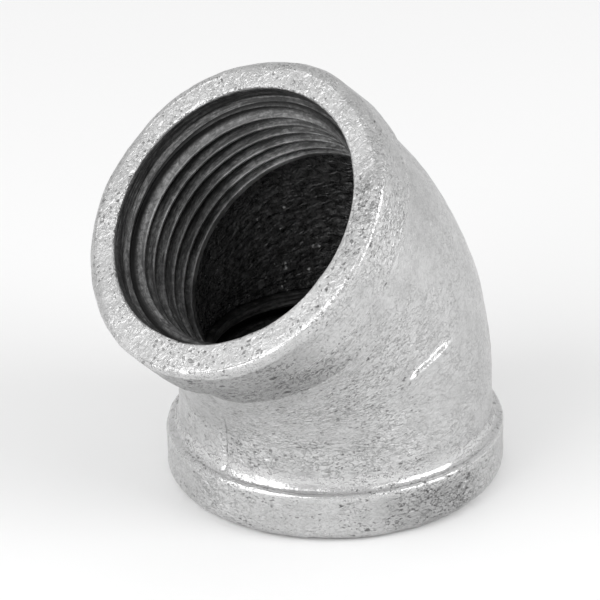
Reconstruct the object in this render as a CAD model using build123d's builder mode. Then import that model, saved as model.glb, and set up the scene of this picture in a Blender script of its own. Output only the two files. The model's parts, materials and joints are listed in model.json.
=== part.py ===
"""A 45 degree pipe elbow with a female thread and a reinforcing band at each end.

The elbow is one iron casting.  It is modelled as the regions that a foundry and a
machine shop would name: the two legs of the body, the two banded ends, the two cut
threads and the rib on each side of the bend.  Regions meet face to face and never
overlap.  The two ends are alike, so each region is made once at the lower port and
added again at the upper one.

The origin is the middle of the lower port's face.  +Z runs up the lower leg into
the fitting, and the upper leg leans towards -X.
"""

import os
from math import cos, pi, radians, sin, tan

from build123d import *
from build123d.topology import SkipClean

os.makedirs("parts", exist_ok=True)

# The whole fitting: lengths in millimetres, angles in degrees
bend_angle = 45.0
centre_to_face = 24.0
body_radius = 19.7
body_bend_radius = 29.0

# The band round each end
band_radius = 21.0
band_height = 6.6
rim_rounding = 1.9
shoulder_rounding = 0.55
neck_fillet = 0.7
neck_length = 1.4

# The thread: 1 inch pipe thread, 11 turns to the inch, cut by a 55 degree tool
thread_pitch = 25.4 / 11
thread_depth = 0.640327 * thread_pitch
thread_major_radius = 33.249 / 2
thread_minor_radius = thread_major_radius - thread_depth
flank_angle = 27.5
crest_width = thread_pitch / 6
thread_end = 16.5
groove_start = 1.9
groove_turns = 5.7
groove_overrun = 0.5
thread_sectors = 6

# The plain mouth in front of the thread, and the metal that the thread is cut in
mouth_radius = 16.9
mouth_depth = 2.4
mouth_chamfer = 0.25
seat_radius = 17.8

# The waterway between the two threads
waterway_radius = 16.2

# The rib on each side of the bend, as angles round the body from outside the bend
rib_start_angle = 81.0
rib_end_angle = 104.0
rib_width = 1.0
rib_height = 0.5
rib_root = 0.6

half_bend = bend_angle / 2
body_bend_start = centre_to_face - body_bend_radius * tan(radians(half_bend))
waterway_bend_radius = (centre_to_face - thread_end) / tan(radians(half_bend))
neck_end = band_height + neck_length

# The upper port's frame: Z into the fitting, X to the outside of the bend
corner = Vector(0, 0, centre_to_face)
upper_inward = Vector(sin(radians(bend_angle)), 0, -cos(radians(bend_angle)))
upper_port = Plane(
    origin=corner - upper_inward * centre_to_face,
    x_dir=(cos(radians(bend_angle)), 0, sin(radians(bend_angle))),
    z_dir=upper_inward,
)

# The plane through the corner that halves the bend, with X to the outside
mitre_plane = Plane(
    origin=corner,
    x_dir=(cos(radians(half_bend)), 0, sin(radians(half_bend))),
    z_dir=(-sin(radians(half_bend)), 0, cos(radians(half_bend))),
)

# The plane of the bend, with X across the lower port and Y up its axis
bend_plane = Plane(origin=(0, 0, 0), x_dir=(1, 0, 0), z_dir=(0, -1, 0))


def make_lower_band():
    """A ring with the port's flat face, a rounded rim and a filleted neck."""
    with BuildPart() as band:
        with BuildSketch(bend_plane):
            with BuildLine():
                Polyline(
                    (seat_radius, 0),
                    (band_radius, 0),
                    (band_radius, band_height),
                    (body_radius, band_height),
                    (body_radius, neck_end),
                    (seat_radius, neck_end),
                    close=True,
                )
            make_face()
            rim = vertices().sort_by_distance((band_radius, 0))[0]
            shoulder = vertices().sort_by_distance((band_radius, band_height))[0]
            neck = vertices().sort_by_distance((body_radius, band_height))[0]
            fillet(rim, rim_rounding)
            fillet(shoulder, shoulder_rounding)
            fillet(neck, neck_fillet)
        revolve(axis=Axis.Z)
    return band


def make_lower_leg():
    """Half the body: straight above the band, then bent as far as the mitre plane."""
    with BuildPart() as leg:
        with BuildLine(bend_plane):
            straight = Line((0, neck_end), (0, body_bend_start))
            JernArc(straight @ 1, straight % 1, body_bend_radius, half_bend)
        with BuildSketch(Plane.XY.offset(neck_end)):
            Circle(body_radius)
        sweep()
        with BuildSketch(Plane.XY.offset(neck_end)):
            Circle(seat_radius)
        extrude(amount=thread_end - neck_end, mode=Mode.SUBTRACT)
        with BuildLine(bend_plane):
            JernArc((0, thread_end), (0, 1), waterway_bend_radius, half_bend)
        with BuildSketch(Plane.XY.offset(thread_end)):
            Circle(waterway_radius)
        sweep(mode=Mode.SUBTRACT)
    return leg


def make_lower_thread():
    """A plain mouth, a lead-in cone, the cut thread and a plain land at its end."""
    cone_end = mouth_depth + mouth_radius - thread_minor_radius
    with BuildPart() as thread:
        with BuildSketch(bend_plane):
            with BuildLine():
                Polyline(
                    (seat_radius, 0),
                    (mouth_radius + mouth_chamfer, 0),
                    (mouth_radius, mouth_chamfer),
                    (mouth_radius, mouth_depth),
                    (thread_minor_radius, cone_end),
                    (thread_minor_radius, thread_end),
                    (seat_radius, thread_end),
                    close=True,
                )
            make_face()
        revolve(axis=Axis.Z)

        # The groove's section starts inside the bore, so that its cut is a clean one
        root_width = thread_pitch - crest_width - 2 * thread_depth * tan(radians(flank_angle))
        inner_radius = thread_minor_radius - groove_overrun
        inner_width = thread_pitch - crest_width + 2 * groove_overrun * tan(radians(flank_angle))
        with BuildLine():
            Helix(thread_pitch, groove_turns * thread_pitch, thread_major_radius,
                  center=(0, 0, groove_start))
        with BuildSketch(bend_plane):
            with BuildLine():
                Polyline(
                    (inner_radius, groove_start - inner_width / 2),
                    (thread_major_radius, groove_start - root_width / 2),
                    (thread_major_radius, groove_start + root_width / 2),
                    (inner_radius, groove_start + inner_width / 2),
                    close=True,
                )
            make_face()
        sweep(is_frenet=True, mode=Mode.SUBTRACT)
    return thread


def divide_faces(thread):
    """The same ring, put together again from equal sectors, so that each face of the
    crest is a short stretch of one turn instead of the whole helix.  SkipClean leaves
    the faces on both sides of a joint between sectors as they are."""
    corners = [(0, 0)]
    for side in (0, 2 * pi / thread_sectors):
        corners.append((2 * seat_radius * cos(side), 2 * seat_radius * sin(side)))
    with SkipClean(), BuildPart() as ring:
        for number in range(thread_sectors):
            with BuildPart(mode=Mode.PRIVATE) as sector:
                with BuildSketch(Plane.XY.rotated((0, 0, number * 360 / thread_sectors))):
                    with BuildLine():
                        Polyline(*corners, close=True)
                    make_face()
                extrude(amount=thread_end)
                add(thread.part, mode=Mode.INTERSECT)
            add(sector.part)
    return ring


def make_rib(side):
    """A short bar across the bend on the mitre plane; side is +1 or -1 along Y."""
    with BuildPart() as rib:
        with BuildSketch(mitre_plane):
            with BuildLine():
                body_centre = body_bend_radius * (1 - 1 / cos(radians(half_bend)))
                low = side * rib_start_angle
                turn = side * (rib_end_angle - rib_start_angle)
                inner = CenterArc((body_centre, 0), body_radius - rib_root, low, turn)
                outer = CenterArc((body_centre, 0), body_radius + rib_height, low, turn)
                Line(inner @ 0, outer @ 0)
                Line(inner @ 1, outer @ 1)
            make_face()
        extrude(amount=rib_width / 2, both=True)
        with BuildLine(bend_plane):
            JernArc((0, body_bend_start), (0, 1), body_bend_radius, bend_angle)
        with BuildSketch(Plane.XY.offset(body_bend_start)):
            Circle(body_radius)
        sweep(mode=Mode.SUBTRACT)
    return rib


def add_at_upper_port(region):
    """The same region again, at the upper port."""
    with BuildPart(upper_port) as copy:
        add(region.part, clean=False)
    return copy


lower_band = make_lower_band()
lower_leg = make_lower_leg()
lower_thread = divide_faces(make_lower_thread())
upper_band = add_at_upper_port(lower_band)
upper_leg = add_at_upper_port(lower_leg)
upper_thread = add_at_upper_port(lower_thread)
left_rib = make_rib(-1)
right_rib = make_rib(1)

lower_band.part.label = "lower_band"
export_step(lower_band.part, "parts/lower_band.step")

lower_leg.part.label = "lower_leg"
export_step(lower_leg.part, "parts/lower_leg.step")

lower_thread.part.label = "lower_thread"
export_step(lower_thread.part, "parts/lower_thread.step")

upper_band.part.label = "upper_band"
export_step(upper_band.part, "parts/upper_band.step")

upper_leg.part.label = "upper_leg"
export_step(upper_leg.part, "parts/upper_leg.step")

upper_thread.part.label = "upper_thread"
export_step(upper_thread.part, "parts/upper_thread.step")

left_rib.part.label = "left_rib"
export_step(left_rib.part, "parts/left_rib.step")

right_rib.part.label = "right_rib"
export_step(right_rib.part, "parts/right_rib.step")
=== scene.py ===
# %% [markdown]
# # A banded 45 degree pipe elbow
# The real thing is one iron casting, dipped in zinc and then tapped at both ends.  Here
# it has three finishes: mottled zinc outside, dark oily metal where the thread was cut,
# and a waterway in between that is painted nearly black as painted shade.  The thread's
# roots carry painted shade too, and its crests and lead-in painted highlights.  Every
# shape here is a profile carried round the pipe's axis.  numpy works out the whole grid
# of points at once, and Blender only receives the finished mesh.

# %% The frame and the tools
import json

import bpy
import numpy as np
from mathutils import Matrix, Vector


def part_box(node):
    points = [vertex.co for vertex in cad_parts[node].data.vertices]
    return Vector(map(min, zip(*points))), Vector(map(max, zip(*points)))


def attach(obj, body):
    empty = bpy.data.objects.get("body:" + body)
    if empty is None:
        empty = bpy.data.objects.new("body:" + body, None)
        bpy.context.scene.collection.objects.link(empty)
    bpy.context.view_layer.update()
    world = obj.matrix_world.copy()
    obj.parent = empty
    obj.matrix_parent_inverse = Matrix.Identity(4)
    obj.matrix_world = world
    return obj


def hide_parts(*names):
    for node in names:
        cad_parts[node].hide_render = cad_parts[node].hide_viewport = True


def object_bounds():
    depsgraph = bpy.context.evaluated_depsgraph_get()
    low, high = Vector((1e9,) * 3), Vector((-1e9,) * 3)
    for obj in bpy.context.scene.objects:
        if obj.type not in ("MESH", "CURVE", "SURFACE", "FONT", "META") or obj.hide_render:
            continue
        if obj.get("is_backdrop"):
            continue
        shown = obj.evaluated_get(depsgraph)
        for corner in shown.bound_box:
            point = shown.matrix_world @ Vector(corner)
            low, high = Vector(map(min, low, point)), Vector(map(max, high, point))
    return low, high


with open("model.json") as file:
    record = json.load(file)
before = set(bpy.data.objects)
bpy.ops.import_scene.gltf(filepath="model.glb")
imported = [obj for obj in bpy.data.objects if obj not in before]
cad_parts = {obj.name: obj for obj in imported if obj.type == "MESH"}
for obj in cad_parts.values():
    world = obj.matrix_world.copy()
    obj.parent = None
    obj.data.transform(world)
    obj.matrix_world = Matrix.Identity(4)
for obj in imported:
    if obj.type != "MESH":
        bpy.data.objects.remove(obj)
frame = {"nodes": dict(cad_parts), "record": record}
cad_box = [list(corner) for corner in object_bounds()]
mounts = {mount["name"]: mount for mount in frame["record"]["mounts"]}
print("CAD nodes:", sorted(frame["nodes"]))

# %% [markdown]
# ## Driving sizes
# The sizes that the CAD model already holds are read from it: the band's radius and
# height from the band's box, the port's place and slope from its mount, the thread's
# crest radius from the threaded hole.  The rest are the roundings and small steps of
# a one inch fitting.  Everything is in metres, and `mm` keeps the numbers readable.

# %% Sizes
mm = 0.001
band_low, band_high = (np.array(corner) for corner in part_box("lower_band"))
band_radius = (band_high[0] - band_low[0]) / 2
neck_end = band_high[2]
neck_length = 1.4 * mm
band_height = neck_end - neck_length
body_radius = np.array(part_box("lower_leg")[1])[1]
thread_end = np.array(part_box("lower_thread")[1])[2]
seat_radius = np.array(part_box("lower_thread")[1])[1]
crest_radius = mounts["upper_thread"]["dims"]["r_mm"] * mm
upper_face = np.array(mounts["upper_face"]["pos_m"])
upper_outward = np.array(mounts["upper_face"]["axis"])
bend = np.arccos(upper_outward[2])
centre_to_face = -upper_face[0] / np.sin(bend)

body_bend_radius = 29.0 * mm
body_bend_start = centre_to_face - body_bend_radius * np.tan(bend / 2)

thread_pitch = 25.4 / 11 * mm
root_radius = 33.249 / 2 * mm
groove_start = 1.9 * mm
groove_turns = 5.7
half_flank_angle = np.radians(27.5)
mouth_radius = 16.9 * mm
mouth_depth = 2.4 * mm
mouth_chamfer = 0.25 * mm

groove_end = groove_start + groove_turns * thread_pitch

waterway_radius = 16.2 * mm
lining_radius = 17.2 * mm
waterway_bend_radius = (centre_to_face - thread_end) / np.tan(bend / 2)
print("band radius %.2f mm, centre to face %.2f mm, bend %.1f degrees"
      % (band_radius / mm, centre_to_face / mm, np.degrees(bend)))

# %% [markdown]
# ## A profile carried round a bent axis
# Every surface here is made of circles round the pipe's axis.  At a port the axis is
# straight, so a circle is given by its radius and its depth below the face.  On the
# bend it is given by how far the bend has turned.  Both formulas take whole arrays, so
# a radius or a depth may also change from angle to angle.  Angle 0 looks to the
# outside of the bend, and 180 degrees to the inside.

# %% Circles at a port and on the bend
side_way = np.array([0.0, 1.0, 0.0])
lower_port = {"face": np.zeros(3), "inward": np.array([0.0, 0.0, 1.0]),
              "across": np.array([1.0, 0.0, 0.0])}
upper_port = {"face": upper_face, "inward": -upper_outward,
              "across": np.array([np.cos(bend), 0.0, np.sin(bend)])}


def at_port(port, radius, depth, angle):
    """Point = face centre + depth * inward + radius * (cos angle * across + sin angle * Y)."""
    radius, depth, angle = np.broadcast_arrays(radius, depth, angle)
    return (port["face"] + depth[..., None] * port["inward"]
            + (radius * np.cos(angle))[..., None] * port["across"]
            + (radius * np.sin(angle))[..., None] * side_way)


def round_bend(radius, bend_radius, turned, angle):
    """Point = hub + reach * (cos turned, sin turned) in XZ + radius * sin angle * Y, where
    reach = bend radius + radius * cos angle."""
    start = centre_to_face - bend_radius * np.tan(bend / 2)
    radius, turned, angle = np.broadcast_arrays(radius, turned, angle)
    reach = bend_radius + radius * np.cos(angle)
    return np.stack([reach * np.cos(turned) - bend_radius, radius * np.sin(angle),
                     start + reach * np.sin(turned)], axis=-1)


def rounded(corners):
    """A line of (radius, depth, rounding, arc points, points before): each corner becomes an arc
    tangent to both sides.  The counts are fixed, so two lines with other roundings can be mixed."""
    places = np.array([corner[:2] for corner in corners])
    line = [places[:1]]
    for here, back_to, on_to, (_, _, rounding, arc_points, points_before) in zip(
            places[1:-1], places, places[2:], corners[1:-1]):
        back = (back_to - here) / np.linalg.norm(back_to - here)
        ahead = (on_to - here) / np.linalg.norm(on_to - here)
        half = np.arccos(back @ ahead) / 2
        hub = here + (back + ahead) / np.linalg.norm(back + ahead) * rounding / np.sin(half)
        first = here + back * rounding / np.tan(half) - hub
        second = here + ahead * rounding / np.tan(half) - hub
        swept = np.pi - 2 * half
        share = np.linspace(0, 1, arc_points)[:, None]
        arc = hub + (np.sin((1 - share) * swept) * first
                     + np.sin(share * swept) * second) / np.sin(swept)
        line += [np.linspace(line[-1][-1], arc[0], points_before + 2)[1:-1], arc]
    line.append(np.linspace(line[-1][-1], places[-1], corners[-1][4] + 2)[1:])
    return np.concatenate(line)


# %% [markdown]
# ## From a grid to a closed solid
# Each piece is a ring with a wall: going round the pipe closes the grid one way, and
# going out along the outside and back along the inside closes it the other way.  A
# grid that closes both ways has no edge at all, so the solid is watertight.  The sign
# of its volume tells whether the faces look outwards.

# %% Grid to mesh
def make_ring(name, points, attributes):
    """Quads between neighbours of a grid that wraps both ways; turned over if the volume, the
    sum of a . (b x c) / 6 over the triangles, comes out negative."""
    rows, columns = points.shape[:2]
    number = np.arange(rows * columns).reshape(rows, columns)
    next_row, next_column = np.roll(number, -1, 0), np.roll(number, -1, 1)
    both = np.roll(next_row, -1, 1)
    quads = np.stack([number, next_row, both, next_column], axis=2).reshape(-1, 4)
    flat = points.reshape(-1, 3)
    a, b, c, d = (flat[quads[:, k]] for k in range(4))
    volume = np.einsum("ij,ij->", a, np.cross(b, c)) + np.einsum("ij,ij->", a, np.cross(c, d))
    if volume < 0:
        quads = quads[:, ::-1]
    mesh = bpy.data.meshes.new(name)
    mesh.vertices.add(len(flat))
    mesh.vertices.foreach_set("co", flat.astype(np.float32).ravel())
    mesh.loops.add(quads.size)
    mesh.loops.foreach_set("vertex_index", quads.astype(np.int32).ravel())
    mesh.polygons.add(len(quads))
    mesh.polygons.foreach_set("loop_start", np.arange(0, quads.size, 4, dtype=np.int32))
    mesh.update(calc_edges=True)
    mesh.validate()
    mesh.polygons.foreach_set("use_smooth", np.ones(len(quads), bool))
    for label, values in attributes.items():
        if values.ndim == 3:
            layer = mesh.attributes.new(label, "FLOAT_VECTOR", "POINT")
            layer.data.foreach_set("vector", values.astype(np.float32).ravel())
        else:
            layer = mesh.attributes.new(label, "FLOAT", "POINT")
            values = np.broadcast_to(values, (rows, columns))
            layer.data.foreach_set("value", values.astype(np.float32).ravel())
    piece = bpy.data.objects.new(name, mesh)
    bpy.context.scene.collection.objects.link(piece)
    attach(piece, "root")
    print("%s: %d triangles, %.2f cm3" % (name, 2 * len(quads), abs(volume) / 6 * 1e6))
    return piece


def wrapped(radius, along, angle):
    """A point's place on the pipe, for patterns: (radius * cos, radius * sin, length), in mm."""
    radius, along, angle = np.broadcast_arrays(radius, along, angle)
    return np.stack([radius * np.cos(angle), radius * np.sin(angle), along], axis=-1) / mm


def grid_normals(points):
    """The cross product of the grid's two central differences, one unit long."""
    along = np.roll(points, -1, 0) - np.roll(points, 1, 0)
    around = np.roll(points, -1, 1) - np.roll(points, 1, 1)
    normal = np.cross(around, along)
    return normal / np.maximum(np.linalg.norm(normal, axis=2, keepdims=True), 1e-12)


# %% [markdown]
# ## Unevenness of a casting
# Sand leaves a surface that is never quite flat.  A sum of plane waves in random
# directions, all of about one wavelength, gives a smooth unevenness with no grid and
# no seam, and a fixed seed gives the same casting every time.

# %% Waves for the uneven surface
def unevenness(points, wavelength, seed, waves=36):
    """Sum of sin(2 pi * random way . point / wavelength + random phase), scaled to about 1."""
    chance = np.random.default_rng(seed)
    direction = chance.normal(size=(waves, 3))
    direction /= np.linalg.norm(direction, axis=1, keepdims=True)
    pace = 2 * np.pi / (wavelength * chance.uniform(0.75, 1.35, waves))
    phase = chance.uniform(0, 2 * np.pi, waves)
    total = np.zeros(points.shape[:-1])
    for k in range(waves):
        total += np.sin(points @ (direction[k] * pace[k]) + phase[k])
    return total / np.sqrt(waves / 2)


def bump(distance, half_width, softness):
    """1 inside the half width, falling to 0 over the softness, as a smooth step."""
    t = np.clip((half_width + softness - np.abs(distance)) / softness, 0, 1)
    return t * t * (3 - 2 * t)


# %% [markdown]
# ## The galvanised skin
# One wall carries the flat face, the rounded rim, the band, the fillet under it and
# the body, then the same again in reverse at the other port.  The casting isn't even:
# the upper rim is sharper towards the inside of the bend, and the lower neck's fillet
# is broad all over the +Y side and in two places on the other.  So the wall's line is
# worked out three times, plain, sharp and broad, and each angle takes its own mixture.

# %% The wall's line
def wall_line(rim, shoulder, body, neck, neck_rise):
    """(radius, depth) from the mouth over the face, rim and band to the bend.  The rim, the
    shoulder and the neck are rounded by these radii, and the neck's fillet, between the band
    and the body of radius body, is then stretched to neck_rise along the body."""
    line = rounded([
        (seat_radius, mouth_chamfer, 0, 1, 0),
        (mouth_radius, mouth_chamfer, 0.03 * mm, 3, 1),
        (mouth_radius + mouth_chamfer, 0, 0.05 * mm, 4, 1),
        (band_radius, 0, rim, 12, 7),
        (band_radius, band_height, shoulder, 8, 12),
        (body, band_height, neck, 12, 1),
        (body, body_bend_start, 0, 1, 11),
    ])
    marks = [0, band_height, band_height + neck, body_bend_start]
    stretched_marks = [0, band_height, band_height + neck_rise, body_bend_start]
    return line[:, 0], np.interp(line[:, 1], marks, stretched_marks)


def near(angle, middle, half_width, softness):
    """1 within half_width degrees of the middle, falling to 0 over the softness."""
    away = np.abs((np.degrees(angle) - middle + 180) % 360 - 180)
    t = np.clip((half_width + softness - away) / softness, 0, 1)
    return t * t * (3 - 2 * t)


near_seam = np.radians(3.0)
quarter = np.concatenate([np.linspace(0, near_seam, 7, endpoint=False),
                          np.linspace(near_seam, np.pi / 2, 70, endpoint=False)])
half_round = np.concatenate([quarter, [np.pi / 2], np.pi - quarter[:0:-1]])
angle = np.concatenate([half_round, half_round + np.pi])

plain = {"rim": 1.9 * mm, "shoulder": 0.4 * mm, "body": body_radius, "neck": 0.7 * mm,
         "neck_rise": 0.9 * mm}
set_back = 0.45 * mm
plain_line = wall_line(**plain)
sharp_line = wall_line(**{**plain, "rim": 0.55 * mm})
broad_line = wall_line(**{**plain, "shoulder": 0.8 * mm, "body": body_radius - set_back,
                          "neck": 0.9 * mm, "neck_rise": 3.6 * mm})
sharp_share = near(angle, -130, 62, 34)
left_half = angle < np.pi
broad_share = left_half * near(angle, 130, 44, 34) + ~left_half * (
    0.25 * near(angle, -72, 12, 24) + 0.50 * near(angle, 180, 14, 34))


def mixed(line, share):
    """Plain line + share * (the line - plain line), as a grid of line points by angles."""
    return [p[:, None] + share * (o - p)[:, None] for p, o in zip(plain_line, line)]


lower_radius, lower_depth = mixed(broad_line, broad_share)
upper_radius, upper_depth = (grid[::-1] for grid in mixed(sharp_line, sharp_share))
print("wall line: %d points, %.1f mm deep" % (len(plain_line[0]), plain_line[1].max() / mm))

# %% [markdown]
# The bend joins the two ends.  The rib sits on the plane that halves it, so the grid
# has finer rows there, and finer columns along the parting line.  The wall returns on
# the inside, hidden behind the threads and the lining, which closes the solid.

# %% The skin as exact circles
rib_width, rib_height = 1.0 * mm, 0.5 * mm
near_rib = 1.3 * rib_width / body_bend_radius
half_turn = np.concatenate([np.linspace(0, bend / 2 - near_rib, 54, endpoint=False)[1:],
                            np.linspace(bend / 2 - near_rib, bend / 2, 12, endpoint=False)])
turned = np.concatenate([half_turn, [bend / 2], (bend - half_turn)[::-1]])
set_back_fade = np.clip(1 - turned[:, None] / (0.6 * bend), 0, 1)
bend_body_radius = body_radius - set_back * broad_share * set_back_fade
hidden_turn = np.linspace(0, bend, 20)
hidden_depth = np.linspace(mouth_chamfer, thread_end, 6)

points = np.concatenate([
    at_port(lower_port, lower_radius, lower_depth, angle),
    round_bend(bend_body_radius, body_bend_radius, turned[:, None], angle),
    at_port(upper_port, upper_radius, upper_depth, angle),
    at_port(upper_port, seat_radius, hidden_depth[1:, None], angle),
    round_bend(lining_radius, waterway_bend_radius, hidden_turn[::-1, None], angle),
    at_port(lower_port, seat_radius, hidden_depth[:0:-1, None], angle),
])
line_count, turn_count, row_count = len(lower_radius), len(turned), len(points)
lower_rows = slice(0, line_count)
bend_rows = slice(line_count, line_count + turn_count)
upper_rows = slice(line_count + turn_count, 2 * line_count + turn_count)
outside = np.zeros((row_count, 1))
outside[:upper_rows.stop] = 1
print("skin grid:", row_count, "rows,", len(angle), "columns")


def on_rows(lower, round_the_bend, upper):
    """One grid of values for the whole skin; each part is a number or a grid, the inside is 0."""
    grid = np.zeros((row_count, len(angle)))
    grid[lower_rows], grid[bend_rows], grid[upper_rows] = lower, round_the_bend, upper
    return grid


length_along = on_rows(lower_depth, body_bend_start + body_bend_radius * turned[:, None],
                       2 * body_bend_start + body_bend_radius * bend - upper_depth)
pipe_radius = on_rows(lower_radius, bend_body_radius, upper_radius)
port_depth = on_rows(lower_depth, body_bend_start, upper_depth)
on_face = on_rows(lower_depth < 0.02 * mm, 0, upper_depth < 0.02 * mm)
past_band = (port_depth - band_height) * outside
on_body = np.clip(past_band / (1.0 * mm), 0, 1)

# %% [markdown]
# Then every point moves along its own normal: a little for the unevenness of sand, a
# ridge for the parting line, a bar for the rib.  The two halves of the mould didn't
# quite meet, so on the inside of the bend one side stands a little higher.  The flat
# faces were cut by a machine, so they move less, and the hidden inside not at all.
# `from_inside` and `from_outside` are distances round the body, in metres, from the
# parting line on either side of the bend.

# %% The skin's relief
normal = grid_normals(points)
if np.sum(normal[3] * (points[3] - points[3].mean(0))) < 0:
    normal = -normal
from_inside = np.arctan2(np.sin(angle), -np.cos(angle)) * -body_radius
from_outside = np.arctan2(np.sin(angle), np.cos(angle)) * body_radius
sand = (0.050 * mm * unevenness(points, 11 * mm, seed=3)
        + 0.022 * mm * unevenness(points, 3.6 * mm, seed=4)
        + 0.012 * mm * unevenness(points, 1.7 * mm, seed=5))
ridge = (0.14 * mm * bump(from_inside, 0.06 * mm, 0.30 * mm)
         + 0.06 * mm * bump(from_outside, 0.05 * mm, 0.25 * mm))
step_height = 0.20 * mm
higher_side = (np.clip(0.5 + from_inside / (0.25 * mm), 0, 1)
               * np.exp(-np.abs(from_inside) / (3.5 * mm)))

rib_middle, rib_half_angle = np.radians([92.5, 11.5])
across_rib = (turned - bend / 2)[:, None] * body_bend_radius
along_rib = np.abs(from_outside) - rib_middle * body_radius
rib = bump(across_rib, 0.22 * rib_width, 0.60 * rib_width)
rib = rib * bump(along_rib, rib_half_angle * body_radius - 1.4 * mm, 1.6 * mm)
rib *= 1 + 0.08 * unevenness(points[bend_rows], 1.3 * mm, seed=6)

face_sand_share = 0.15
lift = outside * np.where(on_face > 0, face_sand_share, 1) * sand
lift += on_body * (ridge + step_height * higher_side)
lift += rib_height * on_rows(0, rib, 0)
points += lift[..., None] * normal

# %% [markdown]
# Zinc ran thick in some places and missed others.  Three masks go with the mesh for
# the finish.  The first is wear, where pits gather and the zinc is dull; on the
# downward side of the upper band it is also painted shade.  The second is painted
# shade, under the upper band and along the parting step on the inside of the bend.
# The third is where the zinc lay thick and froze smooth, and there the grey is made
# brighter as a painted highlight.  Each is a sum of patches, and a patch is a product
# of one step round the pipe and one step along it.

# %% The skin's masks and mesh
def spot(angle_middle, angle_width, depth_middle, depth_width, depths):
    """1 in the middle of a patch, fading with the angle and with the depth below the face."""
    return near(angle, angle_middle, 0, angle_width) * bump(depths - depth_middle, 0, depth_width)


near_the_face = upper_depth < 1.2 * mm
face_patch = (near(angle, -72, 10, 26) * near_the_face
              * bump(upper_radius - 18.9 * mm, 1.3 * mm, 1.0 * mm))
# Painted shade: the downward side of the upper band and the body under it get a darker, duller
# grey, as well as more pits.
band_underside_wear_and_shade = (upper_depth > 1.5 * mm) * near(angle, -165, 25, 40)
wear_and_shade = on_rows(0.50 * spot(-100, 42, 3.5 * mm, 7 * mm, lower_depth), 0,
               0.06 * (upper_depth < 1.5 * mm) + 0.26 * face_patch
               + 0.10 * near(angle, 120, 20, 60) + 0.44 * band_underside_wear_and_shade)
wear_and_shade += 0.50 + np.clip(past_band / (body_bend_start - band_height), 0, 1) * (
    0.12 * near(angle, -160, 30, 40) - 0.28 * near(angle, -50, 25, 45))

# Painted shade under the upper band on the inside of the bend: a broad darkening and a blotchy dark
# line just below the band.
blotch = 0.5 + 0.5 * np.clip(unevenness(points[upper_rows], 3 * mm, seed=9), -1, 1)
below_band = upper_depth - band_height
shade = 0.28 * bump(below_band, 0.4 * mm, 3.0 * mm)
shadow_line_under_band = 0.50 * blotch * bump(below_band - 0.4 * mm, 0.1 * mm, 0.5 * mm)
painted_shade = on_rows(0, 0, near(angle, 180, 34, 24) * (shade + shadow_line_under_band))
# Painted shade: a thin dark line along the parting step on the inside of the bend, fading round the
# bend.
seam_fade = 0.5 + 0.5 * np.clip(unevenness(points, 2 * mm, seed=10), -1, 1)
seam_length = on_rows(1, np.clip(1 - turned[:, None] / (0.5 * bend), 0, 1), 0)
painted_shade += 0.18 * near(angle, 180.4, 0, 0.9) * seam_fade * seam_length * on_body

# Painted highlight: on the necks, the upper rim and the rib the grey is made brighter, as well as
# smoother and glossier.
upper_neck = bump(below_band - 0.5 * mm, 0.6 * mm, 0.8 * mm)
upper_rim = sharp_share * near_the_face * bump(upper_radius - 20.9 * mm, 0.30 * mm, 0.30 * mm)
pooled_and_highlight = on_rows(bump(lower_depth - band_height - 0.6 * mm, 0.7 * mm, 1.2 * mm),
                 0.8 * rib, 0.7 * upper_neck + 0.5 * upper_rim)
skin = make_ring("elbow_skin", points, {
    "wrapped": wrapped(pipe_radius, length_along, angle),
    "wear_and_shade": wear_and_shade, "painted_shade": painted_shade, "pooled_and_highlight": pooled_and_highlight, "face": on_face})
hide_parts("lower_band", "upper_band", "lower_leg", "upper_leg", "left_rib", "right_rib")

# %% [markdown]
# ## The cut threads
# A pipe thread is one groove that winds down the bore.  At any point of the bore the
# groove's middle is some whole number of turns away, so the distance to it is the
# remainder of (depth - start - pitch * turn) divided by the pitch.  The radius is
# then a V of 55 degrees in that distance, rounded at crest and root.  In front of the
# thread the bore is plain, and a 45 degree cone leads in.  Three masks tell the finish
# where the crest, the root and the lead-in are.

# %% The thread rings
def soft_least(a, b, width):
    """The smaller of two values, with the corner between them rounded over a width."""
    t = np.clip(0.5 + (b - a) / (2 * width), 0, 1)
    return a * t + b * (1 - t) - width * t * (1 - t)


def bore_radius(depth, angle_from_outside):
    """The mouth's radius, the cone's and the crest's, one after the other; where the groove
    runs, the V's radius if that is larger.  The V is root - (distance - flat) / tan 27.5."""
    cone = mouth_radius - (depth - mouth_depth)
    before_crest = soft_least(mouth_radius + 0 * depth, cone, 0.08 * mm)
    smooth_bore = -soft_least(-crest_radius, -before_crest, 0.08 * mm)
    turn = angle_from_outside / (2 * np.pi)
    middle = depth - groove_start - thread_pitch * turn
    away = np.abs((middle + thread_pitch / 2) % thread_pitch - thread_pitch / 2)
    flank = root_radius + 0.11 * mm - (away - thread_pitch / 12) / np.tan(half_flank_angle)
    groove = soft_least(root_radius + 0 * flank, flank, 0.16 * mm)
    running = 1 - np.clip((depth - groove_end) / (0.9 * mm), 0, 1)
    inside_crest = crest_radius - 0.3 * mm
    groove = inside_crest + (groove - inside_crest) * running
    return -soft_least(-smooth_bore, -groove, 0.05 * mm)


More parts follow.
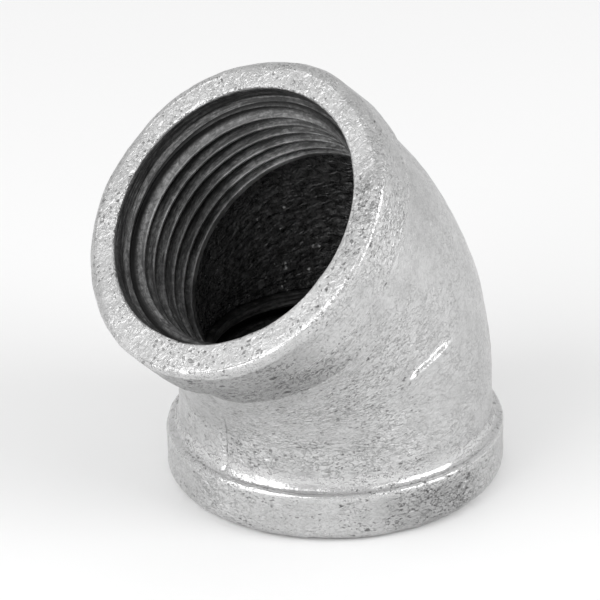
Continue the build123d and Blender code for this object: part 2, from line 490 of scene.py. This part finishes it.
ring_angle = np.linspace(0, 2 * np.pi, 288, endpoint=False)
ring_depth = np.concatenate([
    np.linspace(mouth_chamfer, mouth_depth - 0.2 * mm, 8, endpoint=False),
    np.linspace(mouth_depth - 0.2 * mm, thread_end - 0.45 * mm, 240, endpoint=False),
    np.linspace(thread_end - 0.45 * mm, thread_end - 0.06 * mm, 6),
])
inside_radius = bore_radius(ring_depth[:, None], ring_angle)
tool_marks = np.random.default_rng(8).normal(size=len(ring_depth))
inside_radius = inside_radius + 0.0015 * mm * tool_marks[:, None]
end_edge = np.array([[crest_radius + 0.06 * mm, thread_end],
                     [0.5 * (crest_radius + seat_radius), thread_end],
                     [seat_radius, thread_end],
                     [seat_radius, thread_end / 2],
                     [seat_radius, mouth_chamfer]])
radius_grid = np.concatenate([inside_radius, np.tile(end_edge[:, :1], (1, len(ring_angle)))])
depth_grid = np.concatenate([ring_depth, end_edge[:, 1]])
thread_height = root_radius - crest_radius
from_crest = radius_grid - crest_radius
below_face = depth_grid[:, None]
crest = np.clip(1 - from_crest / (0.16 * mm), 0, 1)
# Painted shade: past the mouth the roots get darker the deeper the groove, and one side of the
# mouth is darkened as well.
root = np.clip(from_crest / thread_height, 0, 1) * (below_face > mouth_depth + 0.5 * mm)
shaded_mouth_side = 0.46 * near(ring_angle, -150, 35, 40) * bump(below_face, 3.6 * mm, 0.8 * mm)
root = np.maximum(root, shaded_mouth_side)
# Painted highlight: a bright band on the lead-in cone.
lead = bump(below_face - mouth_depth - 1.5 * mm, 0.5 * mm, 0.7 * mm) * np.ones(len(ring_angle))


def make_thread(name, port, turn_sign, highlight_share):
    """The ring at a port.  The turn's sign keeps the thread right-handed at either port, and
    the last number says how much painted highlight its crests and lead-in get."""
    points = at_port(port, radius_grid, below_face, turn_sign * ring_angle)
    # Painted highlight on the crest and the lead-in, strongest on one side of the ring.
    highlight_side = highlight_share * (0.20 + 0.80 * near(ring_angle, -30, 45, 70))
    ring = make_ring(name, points, {
        "wrapped": wrapped(radius_grid, below_face, ring_angle),
        "crest": highlight_side * crest, "root": root, "lead": highlight_side * lead})
    return ring


lower_cut = make_thread("lower_cut_thread", lower_port, 1, 0.15)
upper_cut = make_thread("upper_cut_thread", upper_port, -1, 1.0)
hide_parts("lower_thread")
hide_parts("upper_thread")

# %% [markdown]
# ## The waterway
# Between the threads the bore is painted nearly black as painted shade for the deep
# inside, glossy and finely wrinkled across the flow.  It is a lining with its own
# wall, so that it can have its own material.

# %% The waterway lining
water_turn = np.linspace(0, bend, 110)
water_angle = np.linspace(0, 2 * np.pi, 360, endpoint=False)
points = np.concatenate([
    round_bend(waterway_radius, waterway_bend_radius, water_turn[:, None], water_angle),
    round_bend(lining_radius, waterway_bend_radius, hidden_turn[::-1, None], water_angle),
])
normal = grid_normals(points)
if np.sum(normal[50] * (points[50] - points[50].mean(0))) > 0:
    normal = -normal
water_row = np.arange(len(points))[:, None]
inner = np.clip(np.minimum(water_row, len(water_turn) - 1 - water_row) / 4, 0, 1)
lift = inner * (0.10 * mm * unevenness(points, 6 * mm, seed=21)
                + 0.06 * mm * unevenness(points, 1.9 * mm, seed=22)
                + 0.03 * mm * unevenness(points, 1.0 * mm, seed=23))
points += lift[..., None] * normal
water_along = np.concatenate([water_turn, hidden_turn[::-1]])[:, None] * waterway_bend_radius
lining = make_ring("waterway_lining", points, {
    "wrapped": wrapped(waterway_radius, water_along, water_angle)})

# %% [markdown]
# ## Finishes
# Four effects make up the finishes: soft clouds, small dark pits, fine dark wrinkles
# and a grain for the bump.  Each is a node group, built once, with its own inputs.  The
# groups are given the `wrapped` attribute, which says in millimetres where a point is
# on the pipe, so the pattern runs round the metal and stays on it.

# %% Node helpers
def add_node(tree, kind, settings=None, **inputs):
    """One node with its settings and unlinked input values."""
    new = tree.nodes.new(kind)
    for name, value in (settings or {}).items():
        setattr(new, name, value)
    for name, value in inputs.items():
        new.inputs[name.replace("_", " ")].default_value = value
    return new


def join(tree, *pairs):
    """Links given as output, input, output, input and so on."""
    for output, target in zip(pairs[::2], pairs[1::2]):
        tree.links.new(output, target)


def new_group(name, output, **inputs):
    """An empty shader group with a Vector input, number inputs given with their values, and one
    number output."""
    group = bpy.data.node_groups.new(name, "ShaderNodeTree")
    group.interface.new_socket("Vector", in_out="INPUT", socket_type="NodeSocketVector")
    for label, value in inputs.items():
        socket = group.interface.new_socket(label, in_out="INPUT", socket_type="NodeSocketFloat")
        socket.default_value = value
    group.interface.new_socket(output, in_out="OUTPUT", socket_type="NodeSocketFloat")
    group_output = group.nodes.new("NodeGroupOutput")
    return group, group.nodes.new("NodeGroupInput").outputs, group_output.inputs[output]


def feed(tree, socket, value):
    """A link if the value is an output, and otherwise the socket's own number."""
    if hasattr(value, "is_linked"):
        tree.links.new(value, socket)
    else:
        socket.default_value = value


def math_node(tree, operation, *values):
    """A Math node; each side is a number or an output."""
    new = add_node(tree, "ShaderNodeMath", {"operation": operation})
    for socket, value in zip(new.inputs, values):
        feed(tree, socket, value)
    return new.outputs[0]


def times(tree, first, second):
    """The product of two, each a number or an output."""
    return math_node(tree, "MULTIPLY", first, second)


def spread(tree, value, low, high, to_low=0.0, to_high=1.0):
    """A Map Range node, smooth between two limits."""
    new = add_node(tree, "ShaderNodeMapRange", {"interpolation_type": "SMOOTHSTEP"},
                   From_Min=low, From_Max=high, To_Min=to_low, To_Max=to_high)
    tree.links.new(value, new.inputs["Value"])
    return new.outputs["Result"]


def noise_node(tree, vector, scale, detail, roughness=0.5, distortion=0.0):
    """A Noise texture on a vector; its Fac output."""
    new = add_node(tree, "ShaderNodeTexNoise", Detail=detail, Roughness=roughness,
                   Distortion=distortion)
    tree.links.new(vector, new.inputs["Vector"])
    feed(tree, new.inputs["Scale"], scale)
    return new.outputs["Fac"]


# %% Clouds: soft light and dark
clouds, given, result = new_group("clouds", "Tone", Scale=0.3)
fog = noise_node(clouds, given["Vector"], given["Scale"], 6.0, 0.62, 0.4)
join(clouds, spread(clouds, fog, 0.28, 0.72), result)

# %% [markdown]
# A pit is one cell of a Voronoi pattern, bent by a noise so that no two look alike.
# Each cell has its own chance number.  It becomes a pit, larger or smaller, when the
# amount is above that number, and a slow noise makes the pits gather in flocks.

# %% Pits: small dark cells, kept only where chance and the amount agree
pits, given, result = new_group("pits", "Mask", Scale=1.0, Amount=0.5)
warp = add_node(pits, "ShaderNodeTexNoise", Scale=1.6, Detail=3.0)
join(pits, given["Vector"], warp.inputs["Vector"])
bent = add_node(pits, "ShaderNodeVectorMath", {"operation": "MULTIPLY_ADD"})
bent.inputs[1].default_value = (0.9, 0.9, 0.9)
join(pits, warp.outputs["Color"], bent.inputs[0], given["Vector"], bent.inputs[2])
cells = add_node(pits, "ShaderNodeTexVoronoi")
join(pits, bent.outputs[0], cells.inputs["Vector"], given["Scale"], cells.inputs["Scale"])
chance = add_node(pits, "ShaderNodeSeparateColor")
join(pits, cells.outputs["Color"], chance.inputs["Color"])
flock = spread(pits, noise_node(pits, given["Vector"], 0.22, 3.0), 0.36, 0.64, 0.25, 1.0)
above_chance = math_node(pits, "SUBTRACT", times(pits, given["Amount"], flock), chance.outputs[0])
reach = math_node(pits, "MINIMUM", times(pits, above_chance, 1.3), 0.46)
within = math_node(pits, "SUBTRACT", reach, cells.outputs["Distance"])
join(pits, spread(pits, within, -0.06, 0.14), result)

# %% [markdown]
# A wrinkle is a contour line.  A noise is above its middle value in some places and
# below it in others, and the line between them wanders like a crease in leather.  The
# width says how far from the middle value still counts as the line.

# %% Wrinkles: thin dark lines where a noise crosses its middle
wrinkles, given, result = new_group("wrinkles", "Mask", Scale=0.6, Width=0.03)
crossing = noise_node(wrinkles, given["Vector"], given["Scale"], 3.0, 0.6, 0.8)
off_middle = math_node(wrinkles, "ABSOLUTE", math_node(wrinkles, "SUBTRACT", crossing, 0.5))
off_line = math_node(wrinkles, "DIVIDE", off_middle, given["Width"])
join(wrinkles, spread(wrinkles, off_line, 0.0, 1.0, 1.0, 0.0), result)

# %% [markdown]
# The grain is a plain noise, used as a height.  A bump node tilts the normal by its
# slope, which breaks up reflections without any more faces.

# %% Grain: a fine height for the bump
grain, given, result = new_group("grain", "Height", Scale=1.0)
join(grain, noise_node(grain, given["Vector"], given["Scale"], 3.0, 0.58, 0.6), result)

# %% [markdown]
# ## Putting a material together
# Each finish starts from one Principled shader and mixes its greys in layers: the even
# metal first, then light flecks, then wear and dirt, with painted highlights and painted
# shade among them.  The helpers place a group, start a material, stretch a pattern
# along the pipe and mix two greys.

# %% Material helpers
def use_group(tree, group, vector, **inputs):
    """A placed group, fed with a vector and its own values."""
    new = tree.nodes.new("ShaderNodeGroup")
    new.node_tree = group
    tree.links.new(vector, new.inputs["Vector"])
    for name, value in inputs.items():
        new.inputs[name].default_value = value
    return new


def new_material(name, metallic, roughness, *labels):
    """A material, its tree, its Principled shader, the wrapped coordinates and named masks."""
    material = bpy.data.materials.new(name)
    material.use_nodes = True
    tree = material.node_tree
    shader = tree.nodes["Principled BSDF"]
    shader.inputs["Metallic"].default_value = metallic
    shader.inputs["Roughness"].default_value = roughness
    place, *masks = (add_node(tree, "ShaderNodeAttribute", {"attribute_name": label})
                     for label in ("wrapped", *labels))
    return material, tree, shader, place.outputs["Vector"], *(m.outputs["Fac"] for m in masks)


def stretched(tree, vector, scale):
    """The vector times a scale for each axis, so that a pattern runs round the pipe or along it."""
    new = add_node(tree, "ShaderNodeVectorMath", {"operation": "MULTIPLY"})
    new.inputs[1].default_value = scale
    tree.links.new(vector, new.inputs[0])
    return new.outputs[0]


def between(tree, factor, low, high):
    """A grey mixed from two by a factor; each is a number from 0 to 1 or an output."""
    new = add_node(tree, "ShaderNodeMix", {"data_type": "RGBA"})
    tree.links.new(factor, new.inputs[0])
    for socket, value in zip((new.inputs[6], new.inputs[7]), (low, high)):
        feed(tree, socket, value if hasattr(value, "is_linked") else (value, value, value, 1))
    return new.outputs[2]


def add_relief(tree, height, depth, strength, shader):
    """A Bump node on the shader's Normal, as deep as depth where the height goes from 0 to 1."""
    bumped = add_node(tree, "ShaderNodeBump", Strength=strength, Distance=depth)
    join(tree, height, bumped.inputs["Height"], bumped.outputs["Normal"], shader.inputs["Normal"])


# %% [markdown]
# ### Galvanised skin
# Hot zinc freezes into a satin, faintly leathery coat: pale, mottled, with dark pits
# where the dip missed.  The coat is metal, so it shows the room; its grain is what
# breaks the reflections up.  Where the zinc pooled the grain is calmed, the roughness
# is low and the grey is made brighter as a painted highlight, so that the neck, the
# rim and the rib carry a bright line.  Under the upper band the grey is darkened as
# painted shade.

# %% The galvanised finish
# The greys of the zinc.  The pooled grey is a painted highlight, the dull grey is partly painted
# shade, and the last, darkest grey is painted shade.
even_grey, pale_grey, fleck_grey, painted_highlight_grey = 0.43, 0.57, 0.72, 0.70
dull_and_shaded_grey, crease_grey, pit_grey, painted_shade_grey = 0.27, 0.18, 0.09, 0.07
zinc, tree, shader, place, wear_and_shade_mask, painted_shade_mask, face_mask, pooled_and_highlight_mask = new_material(
    "galvanised_zinc", 0.85, 0.36, "wear_and_shade", "painted_shade", "face", "pooled_and_highlight")
flow = stretched(tree, place, (1.0, 1.0, 1.7))
cloud = use_group(tree, clouds, place, Scale=0.30).outputs["Tone"]
fleck = use_group(tree, clouds, flow, Scale=2.6).outputs["Tone"]
coarse_zone = spread(tree, noise_node(tree, place, 0.14, 3.0), 0.38, 0.62, 0.55, 1.0)
rough_share = times(tree, coarse_zone, spread(tree, wear_and_shade_mask, 0.1, 0.6, 0.6, 1.0))

large, small = (use_group(tree, pits, flow, Scale=scale) for scale in (0.85, 2.0))
join(tree, times(tree, wear_and_shade_mask, 0.50), large.inputs["Amount"],
     times(tree, wear_and_shade_mask, 0.95), small.inputs["Amount"])
hole = math_node(tree, "MAXIMUM", large.outputs["Mask"], times(tree, small.outputs["Mask"], 0.7))
crease_share = math_node(tree, "SUBTRACT", 0.50, times(tree, face_mask, 0.25))
crease_share = math_node(tree, "ADD", crease_share, spread(tree, wear_and_shade_mask, 0.70, 0.95, 0.0, 0.5))
crease = use_group(tree, wrinkles, flow, Scale=0.8, Width=0.03).outputs["Mask"]
crease = times(tree, times(tree, crease, rough_share), crease_share)

tone = between(tree, cloud, even_grey, pale_grey)
tone = between(tree, times(tree, fleck, rough_share), tone, fleck_grey)
# Dull grey where the zinc is worn; on the downward side of the upper band it is painted shade.
tone = between(tree, spread(tree, wear_and_shade_mask, 0.55, 1.0, 0.0, 0.6), tone, dull_and_shaded_grey)
# Painted highlight: a brighter grey where the zinc pooled.
tone = between(tree, times(tree, pooled_and_highlight_mask, 0.6), tone, painted_highlight_grey)
tone = between(tree, crease, tone, crease_grey)
tone = between(tree, times(tree, hole, 0.85), tone, pit_grey)
# Painted shade: the darkest grey, under the upper band and along the parting step.
tone = between(tree, times(tree, painted_shade_mask, 0.75), tone, painted_shade_grey)
satin = spread(tree, fleck, 0.0, 1.0, 0.44, 0.28)
join(tree, tone, shader.inputs["Base Color"],
     between(tree, pooled_and_highlight_mask, satin, 0.22), shader.inputs["Roughness"])

height = use_group(tree, grain, flow, Scale=1.4).outputs["Height"]
height = math_node(tree, "SUBTRACT", height, times(tree, hole, 0.6))
height = math_node(tree, "SUBTRACT", height, crease)
calm = times(tree, rough_share, math_node(tree, "SUBTRACT", 1.0, times(tree, pooled_and_highlight_mask, 0.75)))
calm = times(tree, calm, spread(tree, face_mask, 0.0, 1.0, 1.0, 0.6))
add_relief(tree, times(tree, height, calm), 0.24 * mm, 1.0, shader)
skin.data.materials.append(zinc)
print(zinc.name, "has", len(tree.nodes), "nodes")

# %% [markdown]
# ### Cut thread
# The tap leaves fine lines that wind with the thread.  The roots, and one side of
# the mouth, are painted nearly black as painted shade, and the crests and the lead-in
# cone are painted bright as painted highlights.  The pattern uses the mesh's own
# depth and turn, so the lines follow the bore at either port.

# %% The cut finish
# The greys of the cut metal: the lead and crest greys are painted highlights, the root grey is
# painted shade.
line_dark, line_light, lead_highlight_grey, crest_highlight_grey = 0.06, 0.40, 0.50, 0.62
speck_grey, root_shade_grey, grime_grey = 0.05, 0.010, 0.04
cut, tree, shader, place, crest_highlight_mask, root_shade_mask, lead_highlight_mask = new_material(
    "cut_thread_metal", 0.8, 0.4, "crest", "root", "lead")
lines = noise_node(tree, stretched(tree, place, (0.12, 0.12, 2.8)), 1.0, 5.0, 0.8)
speck = use_group(tree, clouds, stretched(tree, place, (0.6, 0.6, 1.4)), Scale=2.4).outputs["Tone"]
grime = use_group(tree, clouds, place, Scale=0.12).outputs["Tone"]
tone = between(tree, spread(tree, lines, 0.40, 0.62), line_dark, line_light)
# Painted highlight: the lead-in cone is made lighter.
tone = between(tree, times(tree, lead_highlight_mask, 0.45), tone, lead_highlight_grey)
tone = between(tree, times(tree, speck, 0.85), tone, speck_grey)
# Painted highlight: the crests are made bright, broken up by the grime clouds.
shine = times(tree, crest_highlight_mask, spread(tree, grime, 0.10, 0.90, 0.9, 0.3))
tone = between(tree, shine, tone, crest_highlight_grey)
# Painted shade: near black in the roots and on one side of the mouth.
tone = between(tree, spread(tree, root_shade_mask, 0.35, 0.80), tone, root_shade_grey)
tone = between(tree, times(tree, grime, 0.5), tone, grime_grey)
join(tree, tone, shader.inputs["Base Color"],
     spread(tree, lines, 0.3, 0.7, 0.34, 0.55), shader.inputs["Roughness"])
add_relief(tree, math_node(tree, "ADD", lines, times(tree, speck, 0.5)), 0.08 * mm, 0.8, shader)
lower_cut.data.materials.append(cut)
upper_cut.data.materials.append(cut)
print(cut.name, "has", len(tree.nodes), "nodes")

# %% [markdown]
# ### Waterway
# Nearly black as painted shade, and glossy: low roughness on a wrinkled surface,
# together with small bright specks painted into the colour as painted glints, gives
# the few small sparkles that the real bore shows.

# %% The waterway finish
waterway_shade_grey, wet_grey, glint_grey = 0.018, 0.10, 0.80
black, tree, shader, place = new_material("waterway_painted_shade", 0.0, 0.25)
cloud = use_group(tree, clouds, place, Scale=1.1).outputs["Tone"]
# Painted shade and painted glints: the waterway's grey stays near black, with small bright specks
# painted into it.
glint = use_group(tree, pits, place, Scale=1.5, Amount=0.30).outputs["Mask"]
tone = between(tree, cloud, waterway_shade_grey, wet_grey)
join(tree, between(tree, glint, tone, glint_grey), shader.inputs["Base Color"],
     spread(tree, cloud, 0.0, 1.0, 0.14, 0.34), shader.inputs["Roughness"])
ripple = use_group(tree, grain, stretched(tree, place, (0.6, 0.6, 1.6)), Scale=1.2)
add_relief(tree, ripple.outputs["Height"], 1.2 * mm, 1.0, shader)
lining.data.materials.append(black)
print(black.name, "has", len(tree.nodes), "nodes")

# %% [markdown]
# ## The studio
# A plain pale floor and large soft lights, as for a catalogue picture.  The camera
# stands well back with a long lens, so that near and far ports are drawn at nearly
# the same scale, and it looks down at the bend from the open side.

# %% The floor
floor_half, floor_grey = 4.0, 0.90
floor_mesh = bpy.data.meshes.new("floor")
floor_mesh.from_pydata([(x * floor_half, y * floor_half, 0) for x, y in
                        ((-1, -1), (1, -1), (1, 1), (-1, 1))], [], [(0, 1, 2, 3)])
floor = bpy.data.objects.new("floor", floor_mesh)
bpy.context.scene.collection.objects.link(floor)
floor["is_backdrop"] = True
pale = bpy.data.materials.new("pale_floor")
pale.use_nodes = True
matt = pale.node_tree.nodes["Principled BSDF"].inputs
matt["Base Color"].default_value = (floor_grey, floor_grey, floor_grey, 1)
matt["Roughness"].default_value = 0.9
floor_mesh.materials.append(pale)

# %% [markdown]
# The world is an even white tent, which the zinc mirrors as its general brightness.
# Two soft boxes, left and right of the camera, draw the bright lines along the neck's
# fillet, the upper rim and the rib.

# %% The lights
world = bpy.data.worlds.new("studio")
world.use_nodes = True
world.node_tree.nodes["Background"].inputs["Color"].default_value = (1, 1, 1, 1)
world.node_tree.nodes["Background"].inputs["Strength"].default_value = 0.68
bpy.context.scene.world = world
light_distance = 0.6
light_aim = Vector((-0.006, 0, 0.024))


def way_to(azimuth, elevation):
    """One unit towards a place on the sphere round the elbow: (sin a cos e, -cos a cos e,
    sin e), with azimuth 0 in front, on the side of -Y."""
    return np.array([np.sin(azimuth) * np.cos(elevation), -np.cos(azimuth) * np.cos(elevation),
                     np.sin(elevation)])


def add_light(name, azimuth, elevation, size, power):
    """A square soft light on a sphere round the elbow, facing its middle."""
    way = Vector(way_to(*np.radians([azimuth, elevation])))
    data = bpy.data.lights.new(name, "AREA")
    data.size, data.energy = size, power
    light = bpy.data.objects.new(name, data)
    turn = way.to_track_quat("Z", "Y").to_matrix().to_4x4()
    light.matrix_world = Matrix.Translation(light_aim + way * light_distance) @ turn
    light.visible_camera = False
    bpy.context.scene.collection.objects.link(light)
    print("light %s: %.2f m wide, %.2f W" % (name, size, power))


add_light("left", azimuth=-100, elevation=31, size=0.50, power=2.2)
add_light("right", azimuth=20, elevation=28, size=0.38, power=1.75)

# %% [markdown]
# The camera's three axes are worked out one after the other: it stands on its own ray
# from the elbow, is rolled a little, and looks at a point slightly above the middle,
# which puts the elbow where it belongs in the frame.

# %% The camera
view_azimuth, view_elevation, view_roll = np.radians([-45.2, 27.65, -1.5])
view_distance = 40 * band_radius
shift_right, shift_up = 0.0124 * band_radius, 0.4034 * band_radius
right = np.array([np.cos(view_azimuth), np.sin(view_azimuth), 0])
back = way_to(view_azimuth, view_elevation)
up = np.cross(back, right)
tilted_right = np.cos(view_roll) * right + np.sin(view_roll) * up
tilted_up = -np.sin(view_roll) * right + np.cos(view_roll) * up
middle = np.array([-0.3, 0, 0.75]) * band_radius
eye = middle + view_distance * back
look_at = middle + shift_right * tilted_right + shift_up * tilted_up
axis_back = (eye - look_at) / np.linalg.norm(eye - look_at)
axis_right = tilted_right - (tilted_right @ axis_back) * axis_back
axis_right /= np.linalg.norm(axis_right)
axis_up = np.cross(axis_back, axis_right)
lens = bpy.data.cameras.new("camera")
lens.sensor_width = 36
lens.lens = 407.6
lens.clip_end = 20
camera = bpy.data.objects.new("camera", lens)
placing = np.eye(4)
placing[:3] = np.stack([axis_right, axis_up, axis_back, eye], axis=1)
camera.matrix_world = Matrix(placing.tolist())
bpy.context.scene.collection.objects.link(camera)
bpy.context.scene.camera = camera
bpy.context.scene.view_settings.view_transform = "Standard"
print("camera: %.1f mm lens, %.2f m away" % (lens.lens, view_distance))

# %% [markdown]
# ## The last look at the size
# The finished pieces have to fill the same box as the CAD model, give or take the sharp
# rim and the unevenness of the skin, so both boxes are written down side by side.

# %% The size kept beside the CAD box
seen_box = [list(corner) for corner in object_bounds()]
for label, box in (("CAD", cad_box), ("visual", seen_box)):
    print(label, "size in mm:", np.round((np.array(box[1]) - box[0]) / mm, 2))
